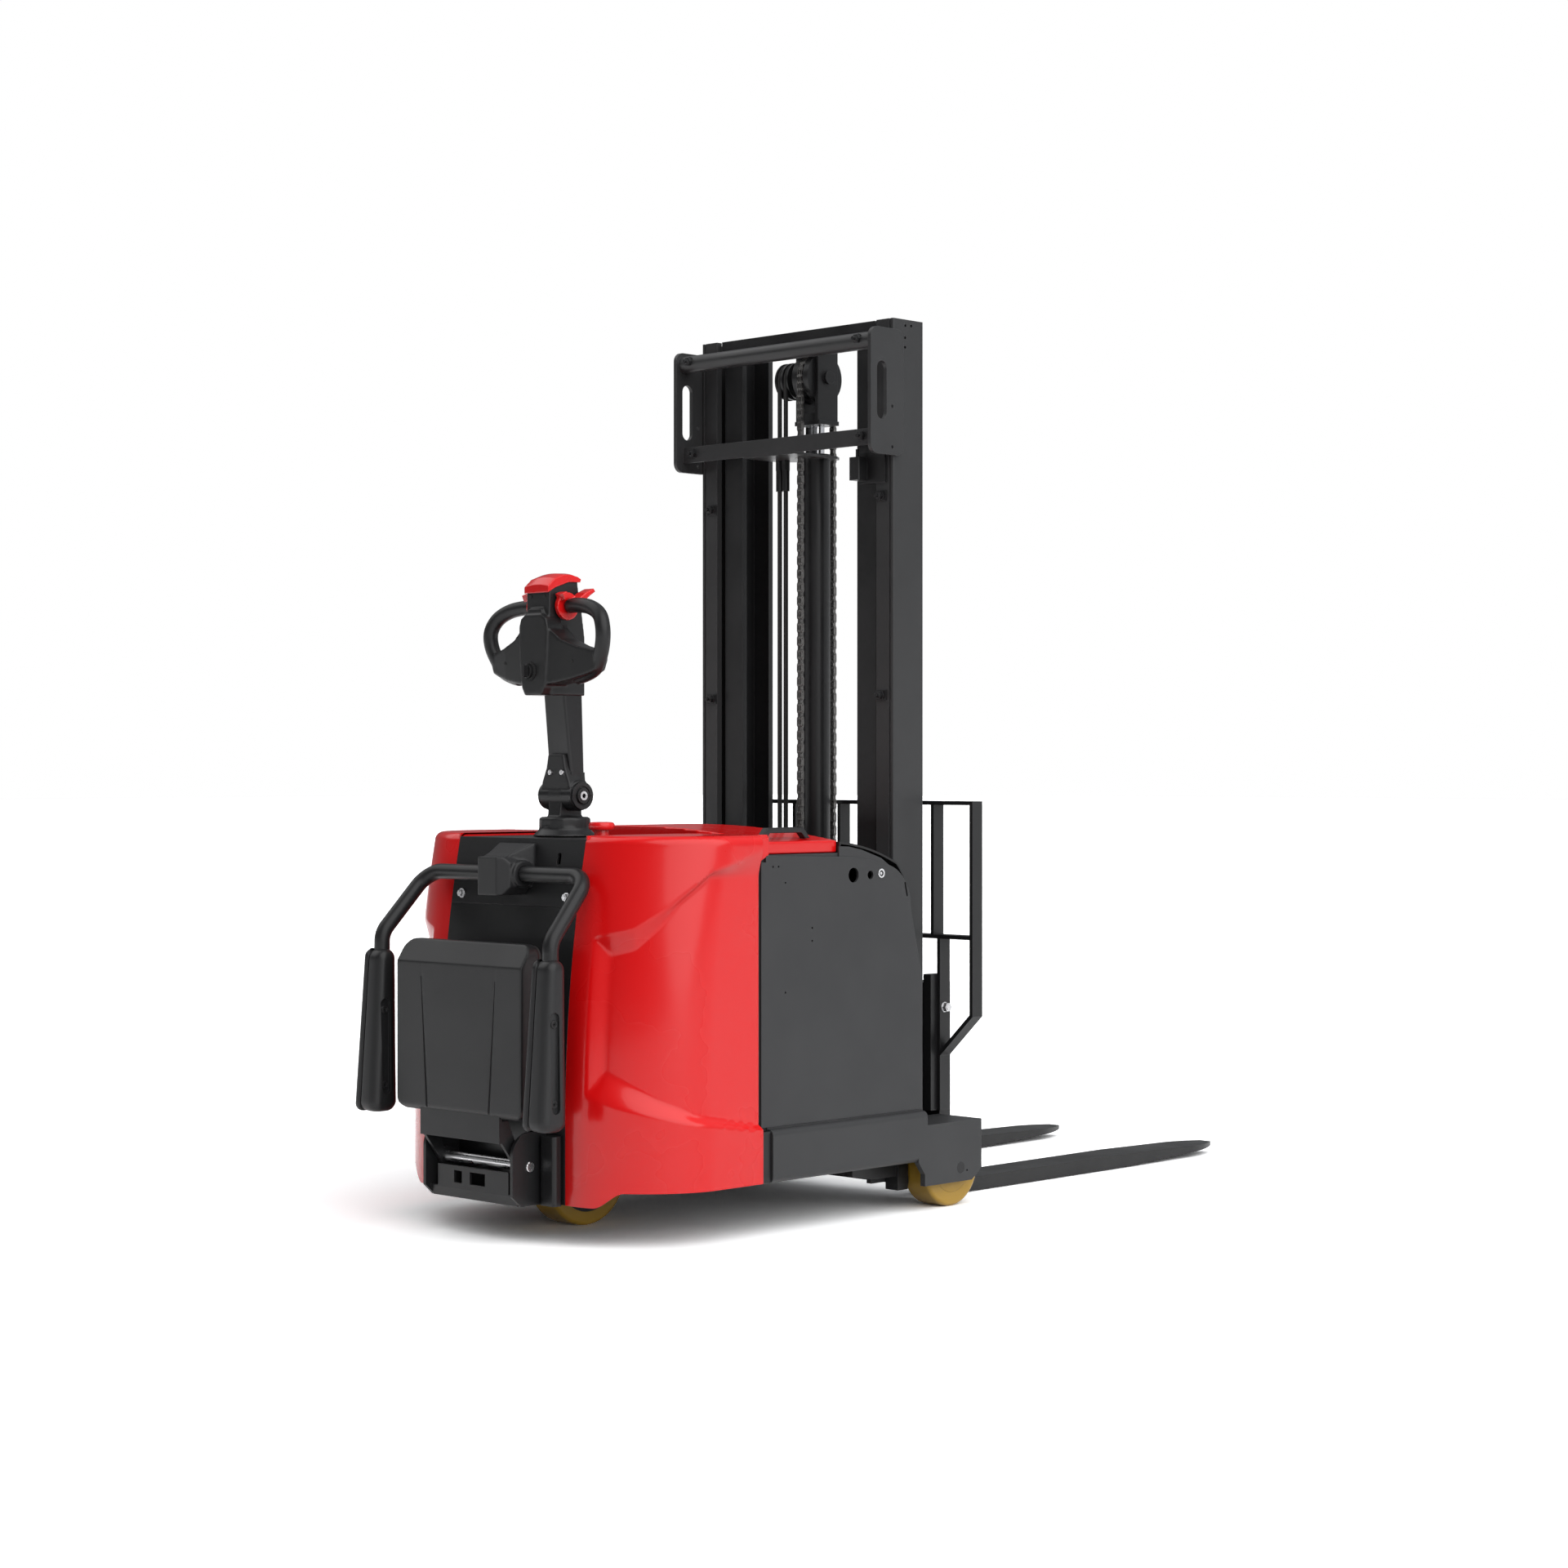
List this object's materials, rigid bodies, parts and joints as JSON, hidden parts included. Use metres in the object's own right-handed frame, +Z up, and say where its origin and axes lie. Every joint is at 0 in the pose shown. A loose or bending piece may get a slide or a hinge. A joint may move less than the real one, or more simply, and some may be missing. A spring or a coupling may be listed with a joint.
{
  "type": "counterbalance stacker",
  "caption": "Ride-on electric stacker with telescopic mast, fork carriage, load wheels, steering tiller, hip arms and folding rear platform.",
  "frame": {"origin": "middle of the overall length and width, on the floor under the wheels", "axes": "+Y forward toward the fork tips, +X to the right of the driver who looks forward, +Z up"},
  "size_m": [0.888, 2.3417, 2.03],
  "materials": {
    "red_plastic": "glossy moulded skin",
    "grey_paint": "satin powder coat",
    "black_paint": "satin powder coat",
    "black_plastic": "fine moulded grain",
    "wheel_yellow": "smooth cast polyurethane",
    "black_rubber": "matt rubber",
    "steel": "machined",
    "bright_rod": "ground and plated",
    "chain_steel": "oiled",
    "cast_weight": "painted casting",
    "motor_paint": "gloss enamel",
    "battery_case": "moulded case",
    "red_control": "glossy moulding"
  },
  "bodies": {
    "chassis": {"chassis_frame": "grey_paint", "rear_subframe": "black_paint", "counterweight": "cast_weight", "battery": "battery_case", "side_panel_right": "grey_paint", "side_panel_left": "grey_paint", "rear_cover_right": "red_plastic", "rear_cover_left": "red_plastic", "rear_panel": "black_paint", "deck_shroud": "black_plastic", "lid_hinge": "steel", "front_cowl": "black_plastic", "outer_mast": "black_paint", "mast_guard": "black_paint", "height_switch": "black_plastic", "lift_cylinder": "black_paint", "hose_fittings": "steel", "hoses_fixed": "black_rubber", "load_axle_right": "steel", "load_axle_left": "steel", "platform_bracket": "black_paint", "platform_pin": "steel", "arm_housing": "black_paint"},
    "lid": {"battery_lid": "red_plastic", "lid_handle": "black_plastic"},
    "stop": {"stop_button": "red_control"},
    "steering": {"steer_turret": "cast_weight", "drive_motor": "motor_paint", "tiller_base": "black_plastic"},
    "drive_wheel": {"drive_hub": "cast_weight", "drive_tyre": "wheel_yellow"},
    "tiller": {"tiller_arm": "black_paint", "tiller_head": "black_plastic"},
    "belly": {"belly_button": "red_control"},
    "throttle": {"throttle": "red_control"},
    "key": {"key_knob": "black_plastic"},
    "load_wheel_right": {"load_tyre_right": "wheel_yellow", "load_hub_right": "cast_weight"},
    "load_wheel_left": {"load_tyre_left": "wheel_yellow", "load_hub_left": "cast_weight"},
    "inner": {"inner_mast": "black_paint", "mast_rollers": "steel", "crosshead": "black_paint", "lift_rod": "bright_rod", "lift_chain": "chain_steel", "hoses_running": "black_rubber"},
    "chain_wheel": {"chain_sheave": "chain_steel"},
    "hose_wheel": {"hose_sheave": "black_plastic"},
    "carriage": {"fork_carriage": "black_paint", "carriage_rollers": "steel", "fork_right": "black_paint", "fork_left": "black_paint", "load_backrest": "black_paint"},
    "platform": {"platform_frame": "black_paint", "platform_shell": "black_plastic", "platform_tread": "black_rubber"},
    "arm_right": {"arm_tube_right": "black_paint", "arm_pad_right": "black_plastic"},
    "arm_left": {"arm_tube_left": "black_paint", "arm_pad_left": "black_plastic"}
  },
  "joints": [
    {"name": "mast_lift", "type": "slide", "parent": "chassis", "child": "inner", "axis": [0, 0, 1], "range_m": [0, 1.45], "deforming": ["lift_chain", "hoses_running"]},
    {"name": "carriage_lift", "type": "slide", "parent": "inner", "child": "carriage", "axis": [0, 0, 1], "range_m": [0, 1.45]},
    {"name": "chain_sheave_turn", "type": "hinge", "parent": "inner", "child": "chain_wheel", "pos_m": [0, -0.034, 1.925], "axis": [1, 0, 0], "continuous": true},
    {"name": "hose_sheave_turn", "type": "hinge", "parent": "inner", "child": "hose_wheel", "pos_m": [-0.076, -0.034, 1.925], "axis": [1, 0, 0], "continuous": true},
    {"name": "steer", "type": "hinge", "parent": "chassis", "child": "steering", "pos_m": [0, -0.834, 0.33], "axis": [0, 0, 1], "range_deg": [-90, 90]},
    {"name": "drive_turn", "type": "hinge", "parent": "steering", "child": "drive_wheel", "pos_m": [0, -0.798, 0.115], "axis": [1, 0, 0], "continuous": true},
    {"name": "tiller_tilt", "type": "hinge", "parent": "steering", "child": "tiller", "pos_m": [0, -0.834, 0.94], "axis": [1, 0, 0], "range_deg": [0, 70], "stiffness_Nm_per_rad": 20, "springref_deg": -20.05},
    {"name": "throttle_turn", "type": "hinge", "parent": "tiller", "child": "throttle", "pos_m": [0, -0.87, 1.35], "axis": [1, 0, 0], "range_deg": [-30, 30], "stiffness_Nm_per_rad": 2},
    {"name": "belly_push", "type": "slide", "parent": "tiller", "child": "belly", "axis": [0, 0, -1], "range_m": [0, 0.005], "stiffness_N_per_m": 1500, "springref_m": -0.002},
    {"name": "key_turn", "type": "hinge", "parent": "tiller", "child": "key", "pos_m": [-0.01, -0.925, 1.209], "axis": [0, 1, 0], "range_deg": [0, 60]},
    {"name": "stop_push", "type": "slide", "parent": "chassis", "child": "stop", "axis": [0, 0, -1], "range_m": [0, 0.006], "stiffness_N_per_m": 2000, "springref_m": -0.002},
    {"name": "lid_open", "type": "hinge", "parent": "chassis", "child": "lid", "pos_m": [-0.4174, -0.52, 0.8174], "axis": [0, -1, 0], "range_deg": [0, 85]},
    {"name": "load_wheel_right_turn", "type": "hinge", "parent": "chassis", "child": "load_wheel_right", "pos_m": [0.3815, -0.0254, 0.09], "axis": [1, 0, 0], "continuous": true},
    {"name": "load_wheel_left_turn", "type": "hinge", "parent": "chassis", "child": "load_wheel_left", "pos_m": [-0.3815, -0.0254, 0.09], "axis": [1, 0, 0], "continuous": true},
    {"name": "platform_fold", "type": "hinge", "parent": "chassis", "child": "platform", "pos_m": [0, -1.063, 0.163], "axis": [1, 0, 0], "range_deg": [0, 90], "stiffness_Nm_per_rad": 18, "springref_deg": -45.84},
    {"name": "arm_right_raise", "type": "hinge", "parent": "chassis", "child": "arm_right", "pos_m": [0, -1.001, 0.773], "axis": [-1, 0, 0], "range_deg": [0, 90]},
    {"name": "arm_left_raise", "type": "hinge", "parent": "chassis", "child": "arm_left", "pos_m": [0, -1.001, 0.773], "axis": [-1, 0, 0], "range_deg": [0, 90]}
  ],
  "couplings": [
    {"joint": "carriage_lift", "follows": "mast_lift", "ratio": 1},
    {"joint": "chain_sheave_turn", "follows": "mast_lift", "rad_per_m": 17.857},
    {"joint": "hose_sheave_turn", "follows": "mast_lift", "rad_per_m": 26.316}
  ]
}
